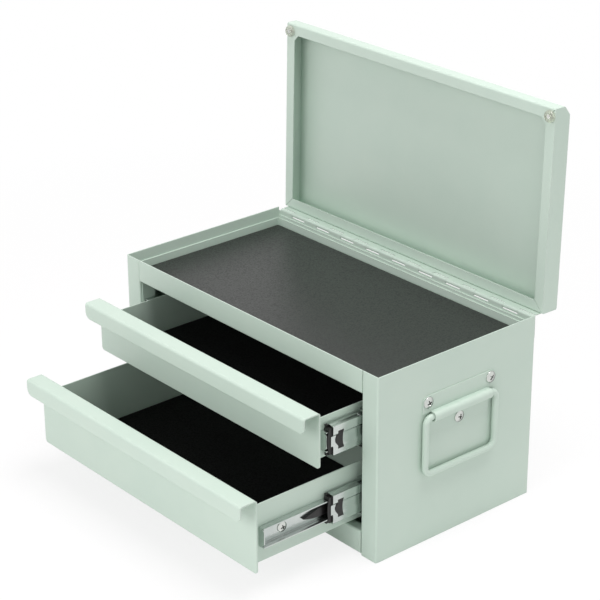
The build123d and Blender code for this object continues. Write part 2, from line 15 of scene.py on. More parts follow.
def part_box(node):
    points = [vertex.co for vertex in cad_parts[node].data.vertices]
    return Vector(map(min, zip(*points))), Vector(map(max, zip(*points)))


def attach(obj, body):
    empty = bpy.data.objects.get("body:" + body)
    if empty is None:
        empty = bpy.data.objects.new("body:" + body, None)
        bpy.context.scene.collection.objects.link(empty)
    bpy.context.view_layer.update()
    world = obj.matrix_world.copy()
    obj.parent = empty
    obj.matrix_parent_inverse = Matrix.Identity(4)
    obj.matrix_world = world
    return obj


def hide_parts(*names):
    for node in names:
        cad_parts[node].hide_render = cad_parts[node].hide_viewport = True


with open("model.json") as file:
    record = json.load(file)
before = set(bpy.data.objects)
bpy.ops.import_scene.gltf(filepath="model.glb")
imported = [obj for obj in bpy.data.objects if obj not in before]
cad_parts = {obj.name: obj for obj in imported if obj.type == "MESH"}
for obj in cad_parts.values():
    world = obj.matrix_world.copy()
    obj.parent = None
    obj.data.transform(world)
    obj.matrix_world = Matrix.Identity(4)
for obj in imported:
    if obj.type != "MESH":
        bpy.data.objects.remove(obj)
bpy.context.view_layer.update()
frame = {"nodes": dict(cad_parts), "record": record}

bl_info = {
    "name": "Steel Tool Chest",
    "version": (1, 0, 0),
    "blender": (4, 5, 0),
    "location": "View3D > Sidebar > Tool Chest",
    "description": "Finishes, soft pieces and stage of a small steel tool chest with drawers",
    "category": "Object",
}

MM = 0.001

# Points this close are one point, points this near a face lie on it, and edges past this angle stay sharp
MERGE = 1e-7
NEAR = 0.1 * MM
SHARP_ANGLE = math.radians(35)

# Steps round the turned pieces and the wire, and along their arcs and bends
SCREW_STEPS = 32
BUMPER_STEPS = 40
WIRE_STEPS = 24
FLOOR_STEPS = 96
ARC_STEPS = 8
BEND_STEPS = 10
MAT_CORNER_STEPS = 6
MAT_EDGE_STEPS = 3

# Distances from the hinge's pin between which its slots end
HINGE_SLOT_BAND = (3.5 * MM, 6 * MM)

# Turn of the first screw and further turn of each one after it, in radians
SCREW_TURNS = {"handle": (0.35, 0.5), "slide": (0.2, 0.7)}

# How far the floor lies below the chest and how far the camera sees, in metres
FLOOR_DROP = 0.2 * MM
VIEW_REACH = 50

# Middle range of a noise, range of the rubber's mottle, and scale of clouding as a share of its grain's
NOISE_RANGE = (0.3, 0.7)
MOTTLE_RANGE = (0.05, 0.42)
CLOUD_SHARE = 0.012

# Colour sockets of a Mix node, whose names other kinds of socket share
MIX_LOW, MIX_HIGH, MIX_RESULT = 6, 7, 2

LEVELS = ("upper", "lower")
SIDES = {"left": -1, "right": 1}
JOINTS = {row["name"]: row for row in frame["record"]["behaviour"]["joints"]}
SLOT_OF = {row["node"]: row["material_slot"] for row in frame["record"]["subparts"]}


def tone(red, green, blue):
    """A screen colour, from 0 to 255 a channel, as the linear colour that shaders take."""
    parts = [channel / 255 for channel in (red, green, blue)]
    return tuple(c / 12.92 if c <= 0.04045 else ((c + 0.055) / 1.055) ** 2.4 for c in parts)


def length(name, description, default):
    """A size that a user may change."""
    return FloatProperty(name=name, description=description, default=default, min=0, unit="LENGTH")


def share(name, description, default):
    """A part of a whole that a user may change."""
    return FloatProperty(name=name, description=description, default=default, min=0, max=1, subtype="FACTOR")


def colour(name, description, default):
    """A colour that a user may change."""
    return FloatVectorProperty(
        name=name, description=description, default=default, size=3, min=0, max=1, subtype="COLOR")


def spot(name, description, default):
    """A place that a user may change."""
    return FloatVectorProperty(
        name=name, description=description, default=default, size=3, subtype="TRANSLATION", unit="LENGTH")


def power(name, description, default):
    """A lamp's power in watts, which a user may change."""
    return FloatProperty(name=name, description=description, default=default, min=0, unit="POWER")


class ChestFinish(bpy.types.PropertyGroup):
    """Colours of the chest's finishes."""

    paint: colour("Paint", "Powder coat of the sheet steel", tone(197, 215, 202))
    paint_shade: colour("Paint clouding", "Faintly darker patches of the powder coat", tone(194, 213, 200))
    # Painted shade: the paint turns to this deeper green down in folds and inner corners, where shade falls.
    paint_painted_shade: colour("Paint in corners", "Powder coat down in folds and inner corners", tone(178, 204, 188))
    # Partly painted highlight: edges lighten to this near white, for thinner coat and for the light along lit
    # edges.
    paint_edge_wear_and_highlight: colour("Paint edge", "Thinner powder coat along the edges", tone(232, 241, 234))
    mat: colour("Till mat", "Rubber of the till's mat", tone(34, 38, 34))
    mat_dark: colour("Till mat grain", "Hollows of the till mat's grain", tone(14, 16, 14))
    liner: colour("Drawer liner", "Rubber of the drawers' liners", tone(10, 11, 11))
    liner_dark: colour("Drawer liner grain", "Hollows of the liners' grain", tone(5, 6, 6))
    zinc: colour("Slide zinc", "Zinc plate of the slides", tone(206, 211, 208))
    zinc_dull: colour("Dull zinc", "Duller streaks of the zinc plate", tone(188, 195, 192))
    # Painted shade and painted reflection: slides and screws turn to this dark zinc in grooves and recesses,
    # and screw heads at their rims.
    zinc_painted_shade_and_reflection: colour("Deep zinc", "Zinc plate down in grooves and recesses", tone(66, 74, 70))
    bright: colour("Bright zinc", "Zinc plate of the screws", tone(226, 226, 220))
    plastic: colour("Black plastic", "Stops and levers of the slides", tone(22, 20, 20))
    bumper: colour("Bumper", "Soft clear plastic of the bumpers", tone(240, 243, 226))


class ChestSizes(bpy.types.PropertyGroup):
    """Sizes of the pieces that are modelled here."""

    bail_shoulder: length("Bail shoulder", "Bend radius where the bail enters its barrel", 7 * MM)
    bail_corner: length("Bail corner", "Bend radius of the bail's lower corners", 9 * MM)
    bail_hook: length("Bail hook", "Length of each bail end, from the leg's middle", 17 * MM)
    handle_screw_inset: length("Handle screw inset", "From the plate's edges to the upper screws", 7.5 * MM)
    handle_screw_low: length("Low screw inset", "From the plate's lower edge to its middle screw", 7 * MM)
    handle_screw_head: length("Handle screw head", "Radius of the handle screws' heads", 6.5 * MM)
    handle_screw_height: length("Handle screw height", "Height of the handle screws' heads", 2.6 * MM)
    handle_screw_shank: length("Handle screw shank", "Radius of the handle screws' shanks", 2.4 * MM)
    handle_screw_reach: length("Handle screw reach", "Length of the handle screws' shanks", 8.4 * MM)
    slide_screw_inset: length("Slide screw inset", "From a slide member's ends to its screws", 29 * MM)
    slide_screw_head: length("Slide screw head", "Radius of the slide screws' heads", 5.8 * MM)
    slide_screw_height: length("Slide screw height", "Height of the slide screws' heads", 2.4 * MM)
    slide_screw_shank: length("Slide screw shank", "Radius of the slide screws' shanks", 2.1 * MM)
    slide_screw_reach: length("Slide screw reach", "Length of the slide screws' shanks", 6.2 * MM)
    strip_sheet: length("Plate thickness", "Thickness of the handle plates and the slides' strip", 1.2 * MM)
    cross_reach: share("Cross reach", "Half length of a cross recess, as a share of its head's radius", 0.68)
    cross_width: share("Cross width", "Half width of a cross recess, as a share of its head's radius", 0.16)
    cross_depth: share("Cross depth", "Depth of a cross recess, as a share of its head's height", 0.7)
    cross_taper: share("Cross taper", "Width at a cross recess's foot, as a share of its mouth's", 0.5)
    head_rim: share("Head rim", "Straight rim of a screw head, as a share of its height", 0.34)
    bumper_radius: length("Bumper radius", "Radius of the lid's bumpers", 6.5 * MM)
    bumper_height: length("Bumper height", "Height of the lid's bumpers", 4.5 * MM)
    bumper_round: length("Bumper rounding", "Rounding of the bumpers' free edge", 2.4 * MM)
    bumper_dish: length("Bumper dish", "Radius of the hollow round each bumper's rivet", 3 * MM)
    bumper_dish_depth: length("Bumper dish depth", "Depth of that hollow", 1.8 * MM)
    bumper_bore: length("Bumper bore", "Radius of each bumper's hole", 1.65 * MM)
    lid_lean: FloatProperty(
        name="Lid lean", description="How far the open lid leans back", default=math.radians(1.3),
        subtype="ANGLE", unit="ROTATION")
    hinge_close: length(
        "Hinge closeness", "How much nearer to the barrel the hinge's slots end than in CAD", 0.95 * MM)
    hinge_longer: length(
        "Hinge ends", "How much further out the box's hinge leaf reaches than in CAD", 3.5 * MM)
    mat_round: length("Mat edge", "Rounding of the mats' upper edges", 0.6 * MM)
    mat_corner: length("Mat corner", "Corner radius of the mats", 2 * MM)


class ChestStage(bpy.types.PropertyGroup):
    """Camera and light."""

    camera_place: spot("Camera", "Where the camera stands", (1.48869, -1.30814, 1.08133))
    camera_turn: FloatVectorProperty(
        name="Camera turn", description="How the camera is turned", size=3, subtype="EULER",
        default=(math.radians(65.88), math.radians(0.26), math.radians(49.32)))
    camera_lens: FloatProperty(name="Lens", description="Focal length in millimetres", default=118.7)
    camera_sensor: FloatProperty(name="Sensor", description="Sensor width in millimetres", default=36)
    floor: colour("Floor", "Pale floor", (0.9, 0.9, 0.9))
    floor_light: FloatProperty(
        name="Floor light", description="Share of plain white in the floor beside the chest", default=0.8)
    floor_near: length("Near floor", "Where the floor's shadow starts to fade", 0.5)
    floor_far: length("Far floor", "Where the floor is plain white", 1.1)
    floor_size: length("Floor size", "Radius of the floor", 6)
    world_light: FloatProperty(
        name="World light", description="Strength of the light all round", default=0.49)
    front_place: spot("Front lamp", "Where the front lamp stands", (0.1, -2.2, 1.1))
    front_size: length("Front size", "Width of the front lamp", 1.4)
    front_power: power("Front power", "Power of the front lamp", 19.5)
    top_place: spot("Top lamp", "Where the top lamp hangs", (0.5, 0.0, 2.4))
    top_size: length("Top size", "Width of the top lamp", 1.2)
    top_power: power("Top power", "Power of the top lamp", 33.5)
    back_place: spot("Back lamp", "Where the back lamp hangs", (0.3, 1.2, 2.2))
    back_size: length("Back size", "Width of the back lamp", 1.2)
    back_power: power("Back power", "Power of the back lamp", 10)
    lamp_colour: colour("Lamp colour", "Tint of the lamps", (1.0, 0.95, 0.975))
    lamp_target: spot("Lamp target", "What the lamps are turned to", (0.0, -0.05, 0.15))


# Shader helpers

def add(tree, kind, inputs=(), **attributes):
    """A node in a tree, with its attributes and input values set."""
    made = tree.nodes.new(kind)
    for name, value in attributes.items():
        setattr(made, name, value)
    for name, value in dict(inputs).items():
        made.inputs[name].default_value = value
    return made


def wire(tree, start, end):
    """Joins an output socket to an input socket."""
    tree.links.new(start, end)


def opaque(colour_value):
    """A colour with full alpha."""
    return (*colour_value, 1.0)


def group(name, inputs, outputs):
    """An empty shader group with named sockets, and its input and output nodes."""
    tree = bpy.data.node_groups.new(name, "ShaderNodeTree")
    for socket, kind in inputs.items():
        tree.interface.new_socket(socket, in_out="INPUT", socket_type=kind)
    for socket, kind in outputs.items():
        tree.interface.new_socket(socket, in_out="OUTPUT", socket_type=kind)
    return tree, tree.nodes.new("NodeGroupInput"), tree.nodes.new("NodeGroupOutput")


def fine_grain_group():
    """Even grain of a coating or moulding: a fine height, and a value from a broader, slower noise."""
    tree, given, result = group(
        "Fine grain", {"Scale": "NodeSocketFloat"},
        {"Height": "NodeSocketFloat", "Value": "NodeSocketFloat"})
    place = add(tree, "ShaderNodeTexCoord")
    noise = add(tree, "ShaderNodeTexNoise", {"Detail": 2.0, "Roughness": 0.55})
    wide = add(tree, "ShaderNodeTexNoise", {"Detail": 3.0, "Roughness": 0.6})
    slower = add(tree, "ShaderNodeMath", {1: CLOUD_SHARE}, operation="MULTIPLY")
    wire(tree, place.outputs["Object"], noise.inputs["Vector"])
    wire(tree, place.outputs["Object"], wide.inputs["Vector"])
    wire(tree, given.outputs["Scale"], noise.inputs["Scale"])
    wire(tree, given.outputs["Scale"], slower.inputs[0])
    wire(tree, slower.outputs[0], wide.inputs["Scale"])
    wire(tree, noise.outputs["Fac"], result.inputs["Height"])
    wire(tree, wide.outputs["Fac"], result.inputs["Value"])
    return tree


def edge_rub_and_highlight_group():
    """A mask that is bright along sharp edges and broken up, with the softened normal."""
    tree, given, result = group(
        "Edge rub", {"Radius": "NodeSocketFloat", "Scale": "NodeSocketFloat"},
        {"Mask": "NodeSocketFloat", "Normal": "NodeSocketVector"})
    soft = add(tree, "ShaderNodeBevel", samples=4)
    flat = add(tree, "ShaderNodeNewGeometry")
    dot = add(tree, "ShaderNodeVectorMath", operation="DOT_PRODUCT")
    ramp = add(tree, "ShaderNodeMapRange", {"From Min": 0.995, "From Max": 0.86})
    place = add(tree, "ShaderNodeTexCoord")
    noise = add(tree, "ShaderNodeTexNoise", {"Detail": 4.0})
    broken = add(tree, "ShaderNodeMath", operation="MULTIPLY")
    wire(tree, given.outputs["Radius"], soft.inputs["Radius"])
    wire(tree, soft.outputs["Normal"], dot.inputs[0])
    wire(tree, flat.outputs["Normal"], dot.inputs[1])
    wire(tree, dot.outputs["Value"], ramp.inputs["Value"])
    wire(tree, place.outputs["Object"], noise.inputs["Vector"])
    wire(tree, given.outputs["Scale"], noise.inputs["Scale"])
    wire(tree, ramp.outputs["Result"], broken.inputs[0])
    wire(tree, noise.outputs["Fac"], broken.inputs[1])
    wire(tree, broken.outputs[0], result.inputs["Mask"])
    wire(tree, soft.outputs["Normal"], result.inputs["Normal"])
    return tree


def recess_shade_group():
    """A mask that is one in the open and falls towards zero down in grooves and recesses."""
    tree, given, result = group(
        "Recess shade", {"Distance": "NodeSocketFloat"}, {"Open": "NodeSocketFloat"})
    near = add(tree, "ShaderNodeAmbientOcclusion", samples=8, only_local=True)
    ramp = add(tree, "ShaderNodeMapRange", {"From Min": 0.15, "From Max": 0.75})
    wire(tree, given.outputs["Distance"], near.inputs["Distance"])
    wire(tree, near.outputs["AO"], ramp.inputs["Value"])
    wire(tree, ramp.outputs["Result"], result.inputs["Open"])
    return tree


def rolled_streaks_group():
    """Long faint streaks along Y, as rolled and plated strip has."""
    tree, given, result = group(
        "Rolled streaks", {"Across": "NodeSocketFloat", "Along": "NodeSocketFloat"},
        {"Streak": "NodeSocketFloat", "Patch": "NodeSocketFloat"})
    place = add(tree, "ShaderNodeTexCoord")
    stretch = add(tree, "ShaderNodeCombineXYZ")
    scaled = add(tree, "ShaderNodeVectorMath", operation="MULTIPLY")
    streak = add(tree, "ShaderNodeTexNoise", {"Scale": 1.0, "Detail": 4.0, "Roughness": 0.6})
    patch = add(tree, "ShaderNodeTexNoise", {"Detail": 3.0})
    for axis, side in (("X", "Across"), ("Y", "Along"), ("Z", "Across")):
        wire(tree, given.outputs[side], stretch.inputs[axis])
    wire(tree, place.outputs["Object"], scaled.inputs[0])
    wire(tree, stretch.outputs[0], scaled.inputs[1])
    wire(tree, scaled.outputs[0], streak.inputs["Vector"])
    wire(tree, place.outputs["Object"], patch.inputs["Vector"])
    wire(tree, given.outputs["Along"], patch.inputs["Scale"])
    wire(tree, streak.outputs["Fac"], result.inputs["Streak"])
    wire(tree, patch.outputs["Fac"], result.inputs["Patch"])
    return tree


def pebble_group():
    """Close rounded pebbles of an embossed rubber sheet."""
    tree, given, result = group(
        "Rubber pebble", {"Scale": "NodeSocketFloat"},
        {"Height": "NodeSocketFloat", "Mottle": "NodeSocketFloat"})
    place = add(tree, "ShaderNodeTexCoord")
    cells = add(tree, "ShaderNodeTexVoronoi", {"Smoothness": 0.35}, feature="SMOOTH_F1")
    noise = add(tree, "ShaderNodeTexNoise", {"Detail": 4.0, "Roughness": 0.7})
    half = add(tree, "ShaderNodeMath", {1: 0.5}, operation="MULTIPLY")
    mixed = add(tree, "ShaderNodeMath", operation="MULTIPLY")
    wire(tree, place.outputs["Object"], cells.inputs["Vector"])
    wire(tree, place.outputs["Object"], noise.inputs["Vector"])
    wire(tree, given.outputs["Scale"], cells.inputs["Scale"])
    wire(tree, given.outputs["Scale"], half.inputs[0])
    wire(tree, half.outputs[0], noise.inputs["Scale"])
    wire(tree, cells.outputs["Distance"], mixed.inputs[0])
    wire(tree, noise.outputs["Fac"], mixed.inputs[1])
    wire(tree, cells.outputs["Distance"], result.inputs["Height"])
    wire(tree, mixed.outputs[0], result.inputs["Mottle"])
    return tree


def shared_group(name, builder):
    """A shader group, built the first time that it is asked for."""
    return bpy.data.node_groups.get(name) or builder()


def effect(tree, name, builder, **values):
    """A shared group placed in a material, with its own values."""
    made = add(tree, "ShaderNodeGroup", node_tree=shared_group(name, builder))
    for socket, value in values.items():
        made.inputs[socket].default_value = value
    return made


def fresh_material(name):
    """An empty material with its Principled shader."""
    material = bpy.data.materials.new(name)
    material.use_nodes = True
    return material, material.node_tree, material.node_tree.nodes["Principled BSDF"]


def blend_colours(tree, mask, low, high):
    """A colour between two by a mask."""
    mix = add(tree, "ShaderNodeMix", data_type="RGBA")
    wire(tree, mask, mix.inputs["Factor"])
    for value, socket in ((low, mix.inputs[MIX_LOW]), (high, mix.inputs[MIX_HIGH])):
        if isinstance(value, bpy.types.NodeSocket):
            wire(tree, value, socket)
        else:
            socket.default_value = opaque(value)
    return mix.outputs[MIX_RESULT]


def remap(tree, value, low, high, start=0.0, end=1.0):
    """A value moved from one range to another."""
    ramp = add(tree, "ShaderNodeMapRange",
               {"From Min": start, "From Max": end, "To Min": low, "To Max": high})
    wire(tree, value, ramp.inputs["Value"])
    return ramp.outputs["Result"]


def bump(tree, height, distance, strength, normal=None):
    """A normal that follows a height."""
    made = add(tree, "ShaderNodeBump", {"Distance": distance, "Strength": strength})
    wire(tree, height, made.inputs["Height"])
    if normal is not None:
        wire(tree, normal, made.inputs["Normal"])
    return made.outputs["Normal"]


# Finishes

def powder_coat():
    """Satin mint powder coat with faint clouding, fine orange peel, painted shade in folds and inner corners,
    and edges lightened partly for thinner coat and partly as a painted highlight.
    """
    finish = bpy.context.scene.chest_finish
    material, tree, shader = fresh_material("mint_powder_coat")
    grain = effect(tree, "Fine grain", fine_grain_group, Scale=1100.0)
    rub = effect(tree, "Edge rub", edge_rub_and_highlight_group, Radius=0.5 * MM, Scale=160.0)
    clouded = blend_colours(tree, remap(tree, grain.outputs["Value"], 0, 1, 0.35, 0.65),
                            finish.paint, finish.paint_shade)
    # Painted shade: ambient occlusion darkens the paint towards the deep colour in folds and inner corners.
    shade = effect(tree, "Recess shade", recess_shade_group, Distance=12 * MM)
    shaded = blend_colours(tree, shade.outputs["Open"], finish.paint_painted_shade, clouded)
    # Edges lighten to near white: partly thinner coat, partly a painted highlight.
    worn_and_highlit = blend_colours(tree, rub.outputs["Mask"], shaded, finish.paint_edge_wear_and_highlight)
    wire(tree, worn_and_highlit, shader.inputs["Base Color"])
    wire(tree, remap(tree, grain.outputs["Value"], 0.38, 0.43, *NOISE_RANGE), shader.inputs["Roughness"])
    peel = bump(tree, grain.outputs["Height"], distance=0.03 * MM, strength=0.35,
                normal=rub.outputs["Normal"])
    wire(tree, peel, shader.inputs["Normal"])
    return material


def zinc_strip():
    """Zinc-plated strip of the slides, with rolled streaks, duller patches and painted shade in grooves and
    recesses.
    """
    finish = bpy.context.scene.chest_finish
    material, tree, shader = fresh_material("zinc_strip")
    streaks = effect(tree, "Rolled streaks", rolled_streaks_group, Across=2200.0, Along=30.0)
    shade = effect(tree, "Recess shade", recess_shade_group, Distance=5 * MM)
    plate = blend_colours(tree, remap(tree, streaks.outputs["Patch"], 0, 1, *NOISE_RANGE),
                          finish.zinc, finish.zinc_dull)
    # Painted shade: the zinc turns dark down in grooves and recesses.
    shaded = blend_colours(tree, shade.outputs["Open"], finish.zinc_painted_shade_and_reflection, plate)
    wire(tree, shaded, shader.inputs["Base Color"])
    shader.inputs["Metallic"].default_value = 1.0
    wire(tree, remap(tree, streaks.outputs["Streak"], 0.2, 0.28, *NOISE_RANGE), shader.inputs["Roughness"])
    return material


def bright_plate():
    """Bright zinc of screws, rivets and the hinge pin, with fine tool marks, painted shade in recesses and a
    painted dark reflection round the rims.
    """
    finish = bpy.context.scene.chest_finish
    material, tree, shader = fresh_material("bright_zinc")
    grain = effect(tree, "Fine grain", fine_grain_group, Scale=2500.0)
    shade = effect(tree, "Recess shade", recess_shade_group, Distance=2 * MM)
    plate = blend_colours(tree, grain.outputs["Value"], finish.zinc_dull, finish.bright)
    # Painted shade: the screws turn dark down in their recesses.
    shaded = blend_colours(tree, shade.outputs["Open"], finish.zinc_painted_shade_and_reflection, plate)
    # Painted dark reflection: the heads turn to the dark zinc where they face away, round their rims.
    turned = add(tree, "ShaderNodeLayerWeight", {"Blend": 0.5})
    rounded = blend_colours(tree, remap(tree, turned.outputs["Facing"], 0, 1, 0.35, 0.85),
                            shaded, finish.zinc_painted_shade_and_reflection)
    wire(tree, rounded, shader.inputs["Base Color"])
    shader.inputs["Metallic"].default_value = 1.0
    wire(tree, remap(tree, grain.outputs["Height"], 0.08, 0.16, *NOISE_RANGE), shader.inputs["Roughness"])
    return material


def moulded_black():
    """Black moulded plastic with a slight gloss."""
    finish = bpy.context.scene.chest_finish
    material, tree, shader = fresh_material("black_plastic")
    grain = effect(tree, "Fine grain", fine_grain_group, Scale=1600.0)
    rub = effect(tree, "Edge rub", edge_rub_and_highlight_group, Radius=0.3 * MM, Scale=300.0)
    scuffed = blend_colours(tree, remap(tree, rub.outputs["Mask"], 0, 0.35),
                            finish.plastic, finish.mat)
    wire(tree, scuffed, shader.inputs["Base Color"])
    wire(tree, remap(tree, grain.outputs["Value"], 0.3, 0.42, *NOISE_RANGE), shader.inputs["Roughness"])
    moulding = bump(tree, grain.outputs["Height"], distance=0.02 * MM, strength=0.3,
                    normal=rub.outputs["Normal"])
    wire(tree, moulding, shader.inputs["Normal"])
    return material


def soft_clear():
    """Soft clear plastic of the bumpers, faintly yellow."""
    finish = bpy.context.scene.chest_finish
    material, tree, shader = fresh_material("clear_bumper")
    grain = effect(tree, "Fine grain", fine_grain_group, Scale=900.0)
    tint = blend_colours(tree, grain.outputs["Value"], finish.bumper, finish.bright)
    wire(tree, tint, shader.inputs["Base Color"])
    wire(tree, remap(tree, grain.outputs["Height"], 0.06, 0.16, *NOISE_RANGE), shader.inputs["Roughness"])
    shader.inputs["Transmission Weight"].default_value = 0.75
    shader.inputs["IOR"].default_value = 1.3
    return material


def pebbled_rubber(name, raised, hollow, scale, shine, smooth, rough, relief):
    """Rubber sheet with a close pebbled grain."""
    material, tree, shader = fresh_material(name)
    shader.inputs["Specular IOR Level"].default_value = shine
    pebble = effect(tree, "Rubber pebble", pebble_group, Scale=scale)
    mottle = pebble.outputs["Mottle"]
    mixed = blend_colours(tree, remap(tree, mottle, 0, 1, *MOTTLE_RANGE), raised, hollow)
    wire(tree, mixed, shader.inputs["Base Color"])
    wire(tree, remap(tree, mottle, smooth, rough, *MOTTLE_RANGE), shader.inputs["Roughness"])
    turned = add(tree, "ShaderNodeMath", {0: 1.0}, operation="SUBTRACT")
    wire(tree, pebble.outputs["Height"], turned.inputs[1])
    emboss = bump(tree, turned.outputs[0], distance=0.25 * MM, strength=relief)
    wire(tree, emboss, shader.inputs["Normal"])
    return material


def till_rubber():
    """Dark grey rubber of the till's mat."""
    finish = bpy.context.scene.chest_finish
    return pebbled_rubber("till_rubber", finish.mat, finish.mat_dark, scale=600.0, shine=0.65,
                          smooth=0.34, rough=0.52, relief=0.4)


def liner_rubber():
    """Near-black rubber of the drawers' liners."""
    finish = bpy.context.scene.chest_finish
    return pebbled_rubber("liner_rubber", finish.liner, finish.liner_dark, scale=620.0, shine=0.2,
                          smooth=0.7, rough=0.9, relief=0.6)


FINISHES = {
    "mint_paint": powder_coat,
    "slide_zinc": zinc_strip,
    "bright_zinc": bright_plate,
    "black_plastic": moulded_black,
    "clear_bumper": soft_clear,
    "mat_rubber": till_rubber,
    "drawer_liner": liner_rubber,
}
MADE_FINISHES = {}


def finish_of(slot):
    """The finish of a material slot, made once."""
    if slot not in MADE_FINISHES:
        MADE_FINISHES[slot] = FINISHES[slot]()
    return MADE_FINISHES[slot]


def paint_nodes(*slots):
    """Gives every CAD node of some slots its finish."""
    for name, made in frame["nodes"].items():
        if SLOT_OF[name] in slots:
            made.data.materials.clear()
            made.data.materials.append(finish_of(SLOT_OF[name]))


# Mesh helpers

def new_piece(name, bm, body, slot, replaced):
    """A finished piece from a mesh, on the body that it rides on, with the nodes that it stands for."""
    bmesh.ops.remove_doubles(bm, verts=bm.verts, dist=MERGE)
    bmesh.ops.recalc_face_normals(bm, faces=bm.faces)
    for face in bm.faces:
        face.smooth = True
    mesh = bpy.data.meshes.new(name)
    bm.to_mesh(mesh)
    bm.free()
    mesh.set_sharp_from_angle(angle=SHARP_ANGLE)
    made = bpy.data.objects.new(name, mesh)
    bpy.context.scene.collection.objects.link(made)
    mesh.materials.append(finish_of(slot))
    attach(made, body)
    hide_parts(*replaced)
    return made


def round_edges(bm, edges, radius, segments):
    """Rounds edges of a mesh."""
    bmesh.ops.bevel(
        bm, geom=list(edges), offset=radius, offset_type="OFFSET", segments=segments, profile=0.5,
        affect="EDGES", material=-1, clamp_overlap=True)


def turned_profile(bm, points, segments, ring=False):
    """A turned solid about Z from points of radius and height, from axis to axis or round a ring."""
    corners = [bm.verts.new((radius, 0, height)) for radius, height in points]
    following = corners[1:] + corners[:1] if ring else corners[1:]
    line = [bm.edges.new(pair) for pair in zip(corners, following)]
    bmesh.ops.spin(
        bm, geom=corners + line, cent=(0, 0, 0), axis=(0, 0, 1), angle=math.tau, steps=segments,
        use_merge=True)
    bmesh.ops.remove_doubles(bm, verts=bm.verts, dist=MERGE)
    bmesh.ops.recalc_face_normals(bm, faces=bm.faces)


def placed(bm, matrix):
    """Moves a whole mesh by a matrix."""
    bmesh.ops.transform(bm, matrix=matrix, verts=bm.verts)


def facing(place, direction):
    """A matrix that stands a piece made along Z at a place, along a direction."""
    turn = Vector(direction).to_track_quat("Z", "Y").to_matrix().to_4x4()
    return Matrix.Translation(place) @ turn


def arc_points(centre, radius, start, end, steps):
    """Points of radius and height along an arc, from one angle to another in degrees."""
    points = []
    for step in range(steps + 1):
        angle = math.radians(start + (end - start) * step / steps)
        points.append((centre[0] + radius * math.cos(angle), centre[1] + radius * math.sin(angle)))
    return points


class WireBender:
    """Bends a round wire from straight runs and round bends, as a bending tool does."""

    def __init__(self, place, direction, radius):
        self.bm = bmesh.new()
        self.place = Vector(place)
        self.direction = Vector(direction)
        ring = bmesh.ops.create_circle(
            self.bm, cap_ends=True, segments=WIRE_STEPS, radius=radius,
            matrix=facing(self.place, self.direction))
        self.edges = list({edge for vert in ring["verts"] for edge in vert.link_edges})

    def straight(self, reach):
        """Runs on in the same direction."""
        made = bmesh.ops.extrude_edge_only(self.bm, edges=self.edges)["geom"]
        step = self.direction * reach
        moved = [v for v in made if isinstance(v, bmesh.types.BMVert)]
        bmesh.ops.translate(self.bm, vec=step, verts=moved)
        self.edges = self.last_ring(made)
        self.place += step

    def bend(self, axis, degrees, radius):
        """Turns about an axis with a bend radius."""
        axis = Vector(axis)
        centre = self.place + axis.cross(self.direction) * radius
        made = bmesh.ops.spin(
            self.bm, geom=self.edges, cent=centre, axis=axis, angle=math.radians(degrees),
            steps=BEND_STEPS)
        turn = Matrix.Rotation(math.radians(degrees), 4, axis)
        self.place = centre + turn @ (self.place - centre)
        self.direction = (turn @ self.direction).normalized()
        self.edges = [edge for edge in made["geom_last"] if isinstance(edge, bmesh.types.BMEdge)]

    def last_ring(self, made):
        """The new open ring of an extrusion."""
        verts = {v for v in made if isinstance(v, bmesh.types.BMVert)}
        return [e for e in self.bm.edges if e.verts[0] in verts and e.verts[1] in verts]

    def finished(self):
        """The wire with its open end closed."""
        bmesh.ops.holes_fill(self.bm, edges=self.edges)
        return self.bm


# Pieces

def make_mat(node, body, slot):
    """A loose rubber sheet with rounded corners and a soft upper edge, laid on a tray's floor."""
    sizes = bpy.context.scene.chest_sizes
    low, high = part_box(node)
    bm = bmesh.new()
    bmesh.ops.create_cube(bm, size=1.0)
    placed(bm, Matrix.Translation((low + high) / 2) @ Matrix.Diagonal((*(high - low), 1)))
    upright = [e for e in bm.edges if abs(e.verts[0].co.z - e.verts[1].co.z) > MM]
    round_edges(bm, upright, sizes.mat_corner, MAT_CORNER_STEPS)
    upper = [e for e in bm.edges if all(abs(v.co.z - high.z) < NEAR for v in e.verts)]
    round_edges(bm, upper, sizes.mat_round, MAT_EDGE_STEPS)
    made = new_piece(f"{node}_sheet", bm, body, slot, [node])
    return made


def make_hinge_leaf(node, body, along, longer):
    """A hinge leaf whose slots end close to the other leaf's knuckles, with longer ends if asked."""
    sizes = bpy.context.scene.chest_sizes
    barrel = Vector(JOINTS["lid_hinge"]["pos_m"])
    bm = bmesh.new()
    bm.from_mesh(frame["nodes"][node].data)
    end = max(vert.co.x for vert in bm.verts)
    for sign in SIDES.values():
        last = [v for v in bm.verts if abs(v.co.x - sign * end) < NEAR]
        bmesh.ops.translate(bm, vec=(sign * longer, 0, 0), verts=last)
    inner, outer = HINGE_SLOT_BAND
    slot_ends = [v for v in bm.verts if inner < (v.co - barrel).yz.length < outer]
    bmesh.ops.translate(bm, vec=along * sizes.hinge_close, verts=slot_ends)
    new_piece(f"{node}_close", bm, body, "mint_paint", [node])


def make_hinge():
    """Both leaves of the piano hinge."""
    sizes = bpy.context.scene.chest_sizes
    lean = sizes.lid_lean
    make_hinge_leaf("hinge_body_leaf", "cabinet", Vector((0, 0, 1)), sizes.hinge_longer)
    make_hinge_leaf("hinge_lid_leaf", "lid", Vector((0, -math.cos(lean), math.sin(lean))), 0)


